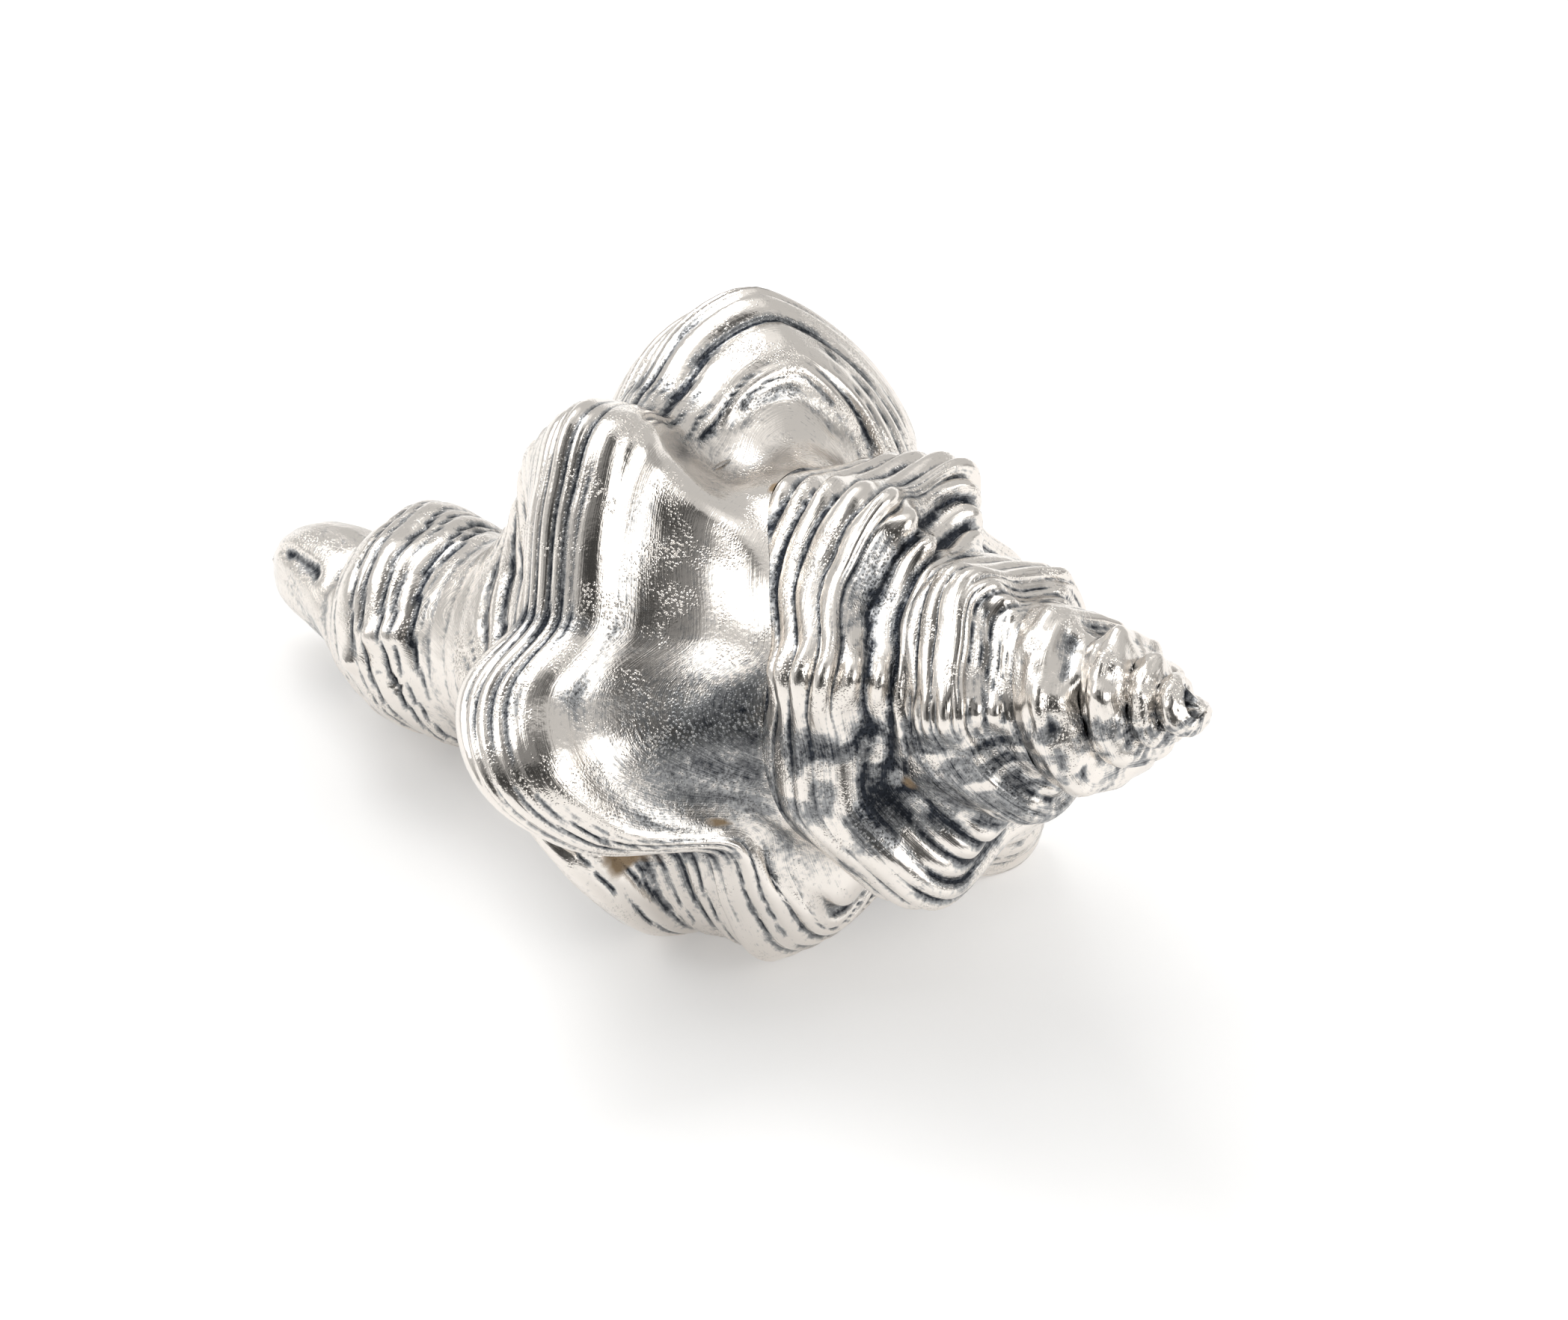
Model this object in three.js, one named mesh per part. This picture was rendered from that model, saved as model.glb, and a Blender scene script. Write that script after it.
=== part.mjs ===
// A murex shell, coated in silver. One closed natural piece: spire, body whorl,
// canal, and the real hollow of the mouth on its underside.
// Millimetres, +Z up. The shell lies mouth down, with its axis tilted and its apex
// toward +X. It rests on two knobs and on the swelling in front of the canal.
import * as THREE from "three";

// ---- constants -------------------------------------------------------------
const AXIS_TILT = 18.6;              // apex above the horizontal, degrees
const ROLL = -0.5716, PITCH = -0.8594;      // settles the three contact points level, degrees
const MOVE = [4.0649, 0.5926, 17.7969];   // puts the resting points at z = 0, centred in x and y
const APEX = 39.8;                   // apex, measured along the axis
const R_PER_WHORL = 1.47;            // growth of the radius in one whorl
const D_PER_WHORL = 1.5;             // growth of the distance from the apex in one whorl
const LIP = -96;                     // angle of the outer lip
const WHORLS = 7.15;
const CAP = 39.0;                    // height of the rounded top
const DRIFT = 352;                   // knobs follow each other a little sooner than one whorl
const COLS = 36;                     // columns of the mesh in one whorl
const SUB = 2;                       // mesh rows for each control row
const CANAL_BEND = -30;              // side to which the canal curves up, degrees
const WALL = 1.4;                    // shell thickness inside the mouth

// Spiral curves: [angle along the spiral in degrees, radius, height along the axis].
// The angle grows toward the apex.
const KEEL_POINTS = [
  [-130,19.5,-8], [-96,22.5,-6.5], [-76,23.9,-2], [-58,25.7,-4.4], [-43,26.3,-7.3], [-31,21.8,-10.4],
  [-22,18.2,-10.4], [-14,17.3,-9.4], [0,19.5,-7], [14,21.6,-5.2], [28,19.8,-5], [53,17.2,-5], [68,21.6,-5.5],
  [82,24.7,-2.6], [97,22,-0.2], [118,15.6,4.4], [134,17.6,3.6], [153,20.4,3], [183,16.5,5.5], [212,25,8],
  [240,17.5,8.5], [268,16.5,10.2], [292,13.9,11], [312,15.4,12.6], [335,12.8,12.4], [355,12.9,14.2],
  [382,11,13.4], [405,11.4,14.6], [423,12.8,15.9], [450,10.9,14.6], [468,12.3,14.4], [487,14.2,17],
  [507,15.1,18.2], [535,11.8,19.2], [568,12.4,20.6], [600,9.6,21.1], [632,9.2,22.2], [665,8.8,23],
  [698,7.9,22.4], [728,9,22], [760,8,22.8], [796,8.9,23.8], [815,7.9,23.6], [845,8.3,25], [868,8.7,26.3],
  [900,6.9,26.8]
];
const SUTURE_POINTS = [
  [-130,14.8,-1], [-96,14,1], [-43,13.6,2.4], [-10,12.9,4.4], [25,10.4,8], [58,9.9,10], [97,11.4,9.6],
  [118,12.8,10.6], [153,12.8,11.6], [212,11.2,13.2], [268,10,14.8], [315,9,17], [337,8.5,18.2],
  [380,8.3,18.9], [415,8,20], [465,8.7,21.2], [505,8.6,23.2], [560,7.3,24], [618,6.4,24.6], [690,5.9,25],
  [720,5.8,25.7], [742,5.7,26.4], [778,5.5,27.2], [800,5.5,27.6], [850,5.9,27.9], [880,5.6,28.6],
  [915,4.9,29.2]
];
const LOWER_POINTS = [
  [-96,18,-18], [-70,20.5,-17], [-50,22,-17.5], [-36,19.3,-15.8], [-24,14.6,-15.4], [-12,12.2,-15.3],
  [0,15,-15.3], [9,16.4,-13.8], [20,13.5,-13], [32,10.6,-12.4], [54,10,-12], [68,12.3,-11.5], [82,15.6,-10.5],
  [97,18.4,-8], [110,19.6,-5.2], [125,19.7,-4.6], [148,19.3,-6.5], [165,17.4,-6.5], [183,15.2,-6.5],
  [212,16.8,-4.5], [240,14,-4], [264,12.6,-3]
];
// Share of the ramp that is smooth; the rest belongs to the thick threaded rim: [angle, share].
const RIM_POINTS = [
  [-96,0.6], [-60,0.6], [-35,0.62], [-20,0.72], [-5,0.82], [14,0.84], [54,0.88], [84,0.86], [105,0.83],
  [125,0.64], [150,0.58], [180,0.7], [212,0.72], [240,0.85], [270,0.92], [420,0.9], [600,0.92], [900,0.84],
  [1200,0.78], [2300,0.75]
];
// Varices, the thick old lips that cross the ramp: [angle, strength, width].
const VARICES = [
  [-92,0.5,12], [-50,0.25,16], [12,1,11], [84,0.12,12], [146,1,13], [212,0.8,12], [268,0.8,12], [312,0.9,12],
  [352,1,11], [421,1,13], [503,0.9,13], [568,0.8,13], [665,0.8,11], [722,0.9,11], [794,0.9,12], [860,0.8,12]
];
const CANAL_H = [-47.6, -47.0, -45.0, -42.0, -39.0, -36.5, -33, -28, -22, -10];
const CANAL_OFF = [3.6, 3.6, 3.4, 2.9, 1.7, 0.3, 0.3, 0, 0, 0];

const END = LIP + 360 * WHORLS;
const rad = (d) => d * Math.PI / 180;
const smooth = (x) => { const t = Math.min(1, Math.max(0, x)); return t * t * (3 - 2 * t); };

// ---- curves ----------------------------------------------------------------
// Past the last measured point the spiral shrinks by a fixed ratio per whorl.
function extend(points) {
  const t = points.map((p) => p.slice());
  while (t[t.length - 1][0] < 2560) {
    const last = t[t.length - 1][0];
    const j = t.findIndex((p) => p[0] > last - DRIFT + 8);
    t.push([t[j][0] + DRIFT, t[j][1] / R_PER_WHORL, APEX - (APEX - t[j][2]) / D_PER_WHORL]);
  }
  return t;
}

// Monotone cubic through the points.
function curve(t, col) {
  const x = t.map((p) => p[0]), y = t.map((p) => p[col]), n = x.length;
  const h = [], d = [], m = new Array(n).fill(0);
  for (let i = 0; i < n - 1; i++) { h.push(x[i + 1] - x[i]); d.push((y[i + 1] - y[i]) / h[i]); }
  m[0] = d[0]; m[n - 1] = d[n - 2];
  for (let i = 1; i < n - 1; i++) {
    if (d[i - 1] * d[i] > 0) {
      const w1 = 2 * h[i] + h[i - 1], w2 = h[i] + 2 * h[i - 1];
      m[i] = (w1 + w2) / (w1 / d[i - 1] + w2 / d[i]);
    }
  }
  return (q) => {
    let i = 0;
    while (i < n - 2 && q >= x[i + 1]) i++;
    const u = Math.min(1, Math.max(0, (q - x[i]) / h[i]));
    return y[i] * (1 + 2 * u) * (1 - u) ** 2 + m[i] * h[i] * u * (1 - u) ** 2
      + y[i + 1] * u * u * (3 - 2 * u) + m[i + 1] * h[i] * u * u * (u - 1);
  };
}
const keel = extend(KEEL_POINTS), suture = extend(SUTURE_POINTS);
const keelR = curve(keel, 1), keelH = curve(keel, 2);
const sutR = curve(suture, 1), sutH = curve(suture, 2);
const lowR = curve(LOWER_POINTS, 1), lowH = curve(LOWER_POINTS, 2), rimF = curve(RIM_POINTS, 1);

function varix(a) {
  let v = 0;
  for (const [c, k, w] of VARICES) v += k * Math.exp(-(((a - c) / w) ** 2));
  for (let n = 1; n < 4; n++)
    for (const [c, , w] of VARICES.slice(-5)) v += 0.8 * Math.exp(-(((a - c - DRIFT * n) / w) ** 2));
  return Math.min(v, 1.2);
}
function canalOffset(h) {
  if (h <= CANAL_H[0]) return CANAL_OFF[0];
  for (let i = 1; i < CANAL_H.length; i++)
    if (h <= CANAL_H[i])
      return CANAL_OFF[i - 1] + (CANAL_OFF[i] - CANAL_OFF[i - 1]) * (h - CANAL_H[i - 1]) / (CANAL_H[i] - CANAL_H[i - 1]);
  return 0;
}

// ---- the profile of the shell at one angle: [radius, height] for each control row ----
// 0 suture, 1-3 concave ramp, 4 rim, 5 keel, 6-7 under the keel, 8 lower frill, 9-10 waist,
// 11-12 swelling, 13 neck, 14-15 canal, 16 tip. The spire uses rows 0 to 7 only.
function profile(a) {
  let kr = keelR(a), kh = keelH(a), sr = sutR(a), sh = sutH(a);
  const yr = sutR(a - 360), yh = sutH(a - 360);
  if (a > END - 360) {
    const t = Math.min(1, (a - END + 360) / 360), s = smooth(t), k = Math.sqrt(Math.max(0, 1 - t * t));
    sr *= 1 - s; sh += (CAP - 0.02 - sh) * (1 - (1 - t) ** 2);
    kr *= k; kh += (CAP - kh) * (1 - k);
  }
  const dr = kr - sr, dh = kh - sh, L = Math.hypot(dr, dh) + 1e-9, nr = dh / L, nh = -dr / L;
  const v = varix(a), P = [];
  const ramp = (u, c) => P.push([sr + dr * u + nr * c * L, sh + dh * u + nh * c * L]);
  P.push([sr, sh]);
  const cap = smooth((a - END + 420) / 120);
  const f = rimF(Math.min(a, 2300)), deep = (1 - 3.2 * cap) * (0.45 + 0.55 * smooth((f - 0.55) / 0.2)) * (1 + 0.3 * smooth((a - 240) / 60)) * (1 - 0.35 * Math.exp(-(((a - 66) / 44) ** 2)));
  const rl = 0.35 + 0.65 * smooth((a - 100) / 40);
  ramp(0.14 * f, 0.045 * deep - 0.09 * rl * varix(a - 4));
  ramp(0.38 * f, 0.125 * deep - 0.19 * rl * v);
  ramp(0.66 * f, 0.085 * deep - 0.15 * (0.3 + 0.7 * rl) * varix(a + 3));
  ramp(0.87 * f + 0.1 * (1 - f), -0.02 - 0.04 * varix(a + 6) - (0.22 - 0.1 * smooth((10 - a) / 30)) * (1 - f));
  P.push([kr, kh]);
  const al = Math.min(a, 264), lr = lowR(al), lh = lowH(al);
  let w = smooth((a - 225) / 60);
  const s6r = kr + 0.30 * (yr - kr) + 0.05 * L, s6h = kh + 0.45 * (yh - kh);
  P.push([(kr - 0.06 * L) * (1 - w) + s6r * w, (kh - 0.14 * L) * (1 - w) + s6h * w]);
  if (a < 265) {
    const pk = 0.05 + 0.14 * Math.exp(-(((a - 116) / 20) ** 2)) + 0.04 * Math.exp(-(((a + 15) / 12) ** 2)) - 0.1 * Math.exp(-(((a + 50) / 18) ** 2)) - 0.06 * Math.exp(-(((a - 30) / 18) ** 2));
    w = smooth((a - 200) / 62);
    P.push([(0.5 * (kr + lr) - pk * L) * (1 - w) + sutR(LIP) * w, (0.5 * (kh - 0.16 * L + lh)) * (1 - w) + sutH(LIP) * w]);
  } else P.push([yr, yh]);
  P.push([lr, lh]);
  const low = Math.cos(rad(a - 150));
  P.push([0.30 * lr + 0.70 * 7.8, 0.35 * lh - 0.65 * 20.8]);
  P.push([7.5 + 0.9 * low, -23.3], [8.1 + 0.3 * low, -28.4], [8.1 - 0.2 * low, -32.4], [5.3 + 0.2 * low, -36.2],
    [4.5, -39.8], [3.1, -44.2], [0.0, -47.6]);
  const round = smooth((a - 1060) / 140);               // the smallest whorls are rounded beads
  for (let j = 0; j < 8 && round > 0; j++) {
    const c = 0.42 * (0.86 + 0.36 * v) * Math.sin(Math.PI * j / 7) * (1 - smooth((a - END + 100) / 100)), er = yr - sr, eh = yh - sh;
    P[j] = [P[j][0] * (1 - round) + (sr + er * j / 7 - eh * c) * round, P[j][1] * (1 - round) + (sh + eh * j / 7 + er * c) * round];
  }
  return P;
}

// Smooth curve through the control rows.
function rows(P, count) {
  const n = P.length, out = [];
  const g = (i) => i < 0 ? [2 * P[0][0] - P[1][0], 2 * P[0][1] - P[1][1]]
    : i >= n ? [2 * P[n - 1][0] - P[n - 2][0], 2 * P[n - 1][1] - P[n - 2][1]] : P[i];
  for (let k = 0; k <= count * SUB; k++) {
    const v = k / SUB, i = Math.min(Math.floor(v), n - 2), u = v - i;
    const [p0, p1, p2, p3] = [g(i - 1), g(i), g(i + 1), g(i + 2)];
    out.push([0, 1].map((c) => 0.5 * (2 * p1[c] + (p2[c] - p0[c]) * u
      + (2 * p0[c] - 5 * p1[c] + 4 * p2[c] - p3[c]) * u * u
      + (3 * p1[c] - p0[c] - 3 * p2[c] + p3[c]) * u * u * u)));
  }
  return out;
}

// ---- from angle, radius and height to the resting shell ----
const T = rad(AXIS_TILT), ro = rad(ROLL), pi = rad(PITCH);
function place(a, r, h) {
  const o = canalOffset(h);
  const u = r * Math.cos(rad(a)) + o * Math.cos(rad(CANAL_BEND));
  const w = r * Math.sin(rad(a)) + o * Math.sin(rad(CANAL_BEND));
  const x = h * Math.cos(T) - u * Math.sin(T), y = -w, z = h * Math.sin(T) + u * Math.cos(T);
  const y1 = y * Math.cos(ro) - z * Math.sin(ro), z1 = y * Math.sin(ro) + z * Math.cos(ro);
  const x2 = x * Math.cos(pi) + z1 * Math.sin(pi), z2 = -x * Math.sin(pi) + z1 * Math.cos(pi);
  const p = [x2 + MOVE[0], y1 + MOVE[1], z2 + MOVE[2]];
  if (p[2] < 0.15) p[2] = 0;           // worn flats where the shell stands
  return p;
}

// ---- mesh ------------------------------------------------------------------
const N = Math.round(COLS * WHORLS), TIP_ROW = 16 * SUB, SUT_ROW = 7 * SUB, MOUTH_ROW = 10 * SUB;
const ang = (c) => LIP + c * 360 / COLS;
const verts = [], tris = [];
const vert = (p) => verts.push(p) - 1;

const body = [], spire = [];
for (let c = 0; c <= N; c++) {
  const P = profile(ang(c));
  spire.push(rows(P.slice(0, 8), 7));
  if (c <= COLS) {
    const b = rows(P, 16), w = smooth((ang(c) - 225) / 40);
    for (let r = 0; r <= SUT_ROW; r++) b[r] = [0, 1].map((k) => b[r][k] * (1 - w) + spire[c][r][k] * w);
    body.push(b);
  }
}
const pole = vert(place(0, 0, CAP)), tip = vert(place(0, 0, -47.6));
const grid = Array.from({ length: N + 1 }, () => new Array(TIP_ROW + 1).fill(-1));
for (let c = N; c >= 0; c--) {
  const last = c <= COLS ? TIP_ROW : SUT_ROW;
  for (let r = 0; r <= last; r++) {
    if (r === TIP_ROW) grid[c][r] = tip;
    else if ((r === 0 && c > N - COLS) || (c === N && r <= SUT_ROW)) grid[c][r] = pole;
    else if (c >= COLS && r === SUT_ROW) continue;
    else if (c === 0 && r >= MOUTH_ROW) grid[c][r] = grid[COLS][r];
    else { const p = (c <= COLS ? body : spire)[c][r]; grid[c][r] = vert(place(ang(c), p[0], p[1])); }
  }
}
for (let c = COLS; c <= N; c++) grid[c][SUT_ROW] = grid[c - COLS][0];

function tri(a, b, c) { if (a !== b && b !== c && a !== c) tris.push(a, b, c); }
function quad(a, b, c, d) { tri(a, b, c); tri(a, c, d); }
for (let c = 0; c < N; c++)
  for (let r = 0; r < (c < COLS ? TIP_ROW : SUT_ROW); r++)
    quad(grid[c][r], grid[c][r + 1], grid[c + 1][r + 1], grid[c + 1][r]);

// The hollow of the mouth: the lip's outline, drawn inward along the whorl.
let ring = [];
for (let r = 0; r <= MOUTH_ROW; r++) ring.push(grid[0][r]);
for (let r = MOUTH_ROW - 1; r > SUT_ROW; r--) ring.push(grid[COLS][r]);
const inner = body[COLS].slice(SUT_ROW, MOUTH_ROW + 1), steps = Math.floor(COLS * 0.30);
let centre = [0, 0], angle = LIP;
for (let k = 1; k <= steps; k++) {
  angle = ang(k);
  const outer = body[k].slice(0, MOUTH_ROW + 1), top = outer[0], bottom = outer[MOUTH_ROW];
  const n = inner.length, q = outer.map((p) => p.slice());
  for (let j = n - 2; j > 0; j--) {
    const s = j / (n - 1), e = inner[n - 1], f = inner[0];
    q.push([0, 1].map((i) => inner[j][i] + s * (bottom[i] - e[i]) + (1 - s) * (top[i] - f[i])));
  }
  const m = q.length;
  centre = [0, 1].map((i) => q.reduce((t, p) => t + p[i], 0) / m);
  const t = WALL * Math.min(1, 0.35 + 0.25 * k * 72 / COLS);
  let sign = 0;
  const nrm = q.map((p, j) => {
    const a = q[(j + 1) % m], b = q[(j + m - 1) % m], e = [a[0] - b[0], a[1] - b[1]], l = Math.hypot(...e) + 1e-9;
    const v = [-e[1] / l, e[0] / l];
    sign += (centre[0] - p[0]) * v[0] + (centre[1] - p[1]) * v[1];
    return v;
  });
  sign = Math.sign(sign);
  const shrink = 1 - 0.5 * Math.max(0, (k - steps * 0.7) / (steps * 0.3)) ** 2;
  const next = q.map((p, j) => {
    const x = p[0] + sign * nrm[j][0] * t, y = p[1] + sign * nrm[j][1] * t;
    const near = Math.exp(-((Math.min(j, m - j) / m / 0.09) ** 2)) + 0.8 * Math.exp(-(((j - MOUTH_ROW) / m / 0.06) ** 2));
    const g = shrink * (1 - 0.42 * smooth(k / COLS * 200 / 12) * near);
    return vert(place(angle, centre[0] + (x - centre[0]) * g, centre[1] + (y - centre[1]) * g));
  });
  for (let j = 0; j < m; j++) quad(ring[j], next[j], next[(j + 1) % m], ring[(j + 1) % m]);
  ring = next;
}
const end = vert(place(angle, centre[0], centre[1]));
for (let j = 0; j < ring.length; j++) tri(ring[j], end, ring[(j + 1) % ring.length]);

const geometry = new THREE.BufferGeometry();
geometry.setAttribute("position", new THREE.Float32BufferAttribute(verts.flat(), 3));
geometry.setIndex(tris);
geometry.computeVertexNormals();
const shell = new THREE.Mesh(geometry, new THREE.MeshStandardMaterial({ color: 0xcfcbc6, metalness: 1, roughness: 0.3 }));
shell.name = "shell";
const part = new THREE.Group();
part.name = "silver_murex_shell";
part.add(shell);
export default part;
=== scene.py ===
import math
import bpy
import numpy as np
from mathutils import Matrix, Vector


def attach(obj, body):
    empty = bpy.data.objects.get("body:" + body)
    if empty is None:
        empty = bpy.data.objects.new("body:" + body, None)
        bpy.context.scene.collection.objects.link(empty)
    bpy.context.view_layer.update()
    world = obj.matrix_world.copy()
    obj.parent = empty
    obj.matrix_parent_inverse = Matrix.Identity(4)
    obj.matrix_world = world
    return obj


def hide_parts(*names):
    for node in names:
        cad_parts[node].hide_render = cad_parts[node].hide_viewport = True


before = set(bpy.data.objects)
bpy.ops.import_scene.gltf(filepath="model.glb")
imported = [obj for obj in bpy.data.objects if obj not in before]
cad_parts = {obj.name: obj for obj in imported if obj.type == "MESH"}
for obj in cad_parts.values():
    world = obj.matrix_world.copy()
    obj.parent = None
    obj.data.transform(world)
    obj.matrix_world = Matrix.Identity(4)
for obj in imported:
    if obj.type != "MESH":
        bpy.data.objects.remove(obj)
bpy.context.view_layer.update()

rad = math.radians
DETAIL = 1.0

# ---------------------------------------------------------------- the spiral
AXIS_TILT, ROLL, PITCH = 18.6, -0.5716, -0.8594
MOVE = np.array([4.0649, 0.5926, 17.7969])
APEX, R_PER_WHORL, D_PER_WHORL, LIP, WHORLS = 39.8, 1.47, 1.5, -96, 7.15
CANAL_BEND, WALL, DRIFT, CAP = -30, 1.4, 352, 39.0
END = LIP + 360 * WHORLS

KEEL_POINTS = [
    (-130, 19.5, -8), (-96, 22.5, -6.5), (-76, 23.9, -2), (-58, 25.7, -4.4), (-43, 26.3, -7.3),
    (-31, 21.8, -10.4), (-22, 18.2, -10.4), (-14, 17.3, -9.4), (0, 19.5, -7), (14, 21.6, -5.2), (28, 19.8, -5),
    (53, 17.2, -5), (68, 21.6, -5.5), (82, 24.7, -2.6), (97, 22, -0.2), (118, 15.6, 4.4), (134, 17.6, 3.6),
    (153, 20.4, 3), (183, 16.5, 5.5), (212, 25, 8), (240, 17.5, 8.5), (268, 16.5, 10.2), (292, 13.9, 11),
    (312, 15.4, 12.6), (335, 12.8, 12.4), (355, 12.9, 14.2), (382, 11, 13.4), (405, 11.4, 14.6),
    (423, 12.8, 15.9), (450, 10.9, 14.6), (468, 12.3, 14.4), (487, 14.2, 17), (507, 15.1, 18.2),
    (535, 11.8, 19.2), (568, 12.4, 20.6), (600, 9.6, 21.1), (632, 9.2, 22.2), (665, 8.8, 23), (698, 7.9, 22.4),
    (728, 9, 22), (760, 8, 22.8), (796, 8.9, 23.8), (815, 7.9, 23.6), (845, 8.3, 25), (868, 8.7, 26.3),
    (900, 6.9, 26.8),
]
SUTURE_POINTS = [
    (-130, 14.8, -1), (-96, 14, 1), (-43, 13.6, 2.4), (-10, 12.9, 4.4), (25, 10.4, 8), (58, 9.9, 10),
    (97, 11.4, 9.6), (118, 12.8, 10.6), (153, 12.8, 11.6), (212, 11.2, 13.2), (268, 10, 14.8), (315, 9, 17),
    (337, 8.5, 18.2), (380, 8.3, 18.9), (415, 8, 20), (465, 8.7, 21.2), (505, 8.6, 23.2), (560, 7.3, 24),
    (618, 6.4, 24.6), (690, 5.9, 25), (720, 5.8, 25.7), (742, 5.7, 26.4), (778, 5.5, 27.2), (800, 5.5, 27.6),
    (850, 5.9, 27.9), (880, 5.6, 28.6), (915, 4.9, 29.2),
]
LOWER_POINTS = [
    (-96, 18, -18), (-70, 20.5, -17), (-50, 22, -17.5), (-36, 19.3, -15.8), (-24, 14.6, -15.4),
    (-12, 12.2, -15.3), (0, 15, -15.3), (9, 16.4, -13.8), (20, 13.5, -13), (32, 10.6, -12.4), (54, 10, -12),
    (68, 12.3, -11.5), (82, 15.6, -10.5), (97, 18.4, -8), (110, 19.6, -5.2), (125, 19.7, -4.6),
    (148, 19.3, -6.5), (165, 17.4, -6.5), (183, 15.2, -6.5), (212, 16.8, -4.5), (240, 14, -4), (264, 12.6, -3),
]
RIM_POINTS = [
    (-96, 0.6), (-60, 0.6), (-35, 0.62), (-20, 0.72), (-5, 0.82), (14, 0.84), (54, 0.88), (84, 0.86),
    (105, 0.83), (125, 0.64), (150, 0.58), (180, 0.7), (212, 0.72), (240, 0.85), (270, 0.92), (420, 0.9),
    (600, 0.92), (900, 0.84), (1200, 0.78), (2300, 0.75),
]
VARICES = [
    (-92, 0.5, 12), (-50, 0.25, 16), (12, 1, 11), (84, 0.12, 12), (146, 1, 13), (212, 0.8, 12), (268, 0.8, 12),
    (312, 0.9, 12), (352, 1, 11), (421, 1, 13), (503, 0.9, 13), (568, 0.8, 13), (665, 0.8, 11), (722, 0.9, 11),
    (794, 0.9, 12), (860, 0.8, 12),
]
CANAL_H = [-47.6, -47.0, -45.0, -42.0, -39.0, -36.5, -33, -28, -22, -10]
CANAL_OFF = [3.6, 3.6, 3.4, 2.9, 1.7, 0.3, 0.3, 0, 0, 0]


def smooth(x):
    x = np.clip(x, 0, 1)
    return x * x * (3 - 2 * x)


def bump(x, c, w):
    return np.exp(-((x - c) / w) ** 2)


def extend(points):
    t = [list(p) for p in points]
    while t[-1][0] < 2560:
        last = t[-1][0]
        j = next(k for k in range(len(t)) if t[k][0] > last - DRIFT + 8)
        t.append([t[j][0] + DRIFT, t[j][1] / R_PER_WHORL, APEX - (APEX - t[j][2]) / D_PER_WHORL])
    return np.array(t, float)


class Curve:
    def __init__(self, t, col):
        x, y = t[:, 0], t[:, col]
        h = np.diff(x)
        d = np.diff(y) / h
        m = np.zeros(len(x))
        m[0], m[-1] = d[0], d[-1]
        for i in range(1, len(x) - 1):
            if d[i - 1] * d[i] > 0:
                w1, w2 = 2 * h[i] + h[i - 1], h[i] + 2 * h[i - 1]
                m[i] = (w1 + w2) / (w1 / d[i - 1] + w2 / d[i])
        self.x, self.y, self.m = x, y, m

    def __call__(self, q):
        q = np.asarray(q, float)
        i = np.clip(np.searchsorted(self.x, q, side="right") - 1, 0, len(self.x) - 2)
        h = self.x[i + 1] - self.x[i]
        u = np.clip((q - self.x[i]) / h, 0, 1)
        y, m = self.y, self.m
        return (y[i] * (1 + 2 * u) * (1 - u) ** 2 + m[i] * h * u * (1 - u) ** 2
                + y[i + 1] * u * u * (3 - 2 * u) + m[i + 1] * h * u * u * (u - 1))


keel, suture, lower = extend(KEEL_POINTS), extend(SUTURE_POINTS), np.array(LOWER_POINTS, float)
keel_r, keel_h, sut_r, sut_h = Curve(keel, 1), Curve(keel, 2), Curve(suture, 1), Curve(suture, 2)
low_r, low_h, rim_f = Curve(lower, 1), Curve(lower, 2), Curve(np.array(RIM_POINTS, float), 1)


def varix(a):
    v = 0 * a
    for c, k, w in VARICES:
        v = v + k * bump(a, c, w)
    for n in range(1, 4):
        for c, k, w in VARICES[-5:]:
            v = v + 0.8 * bump(a, c + DRIFT * n, w)
    return np.minimum(v, 1.2)


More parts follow.
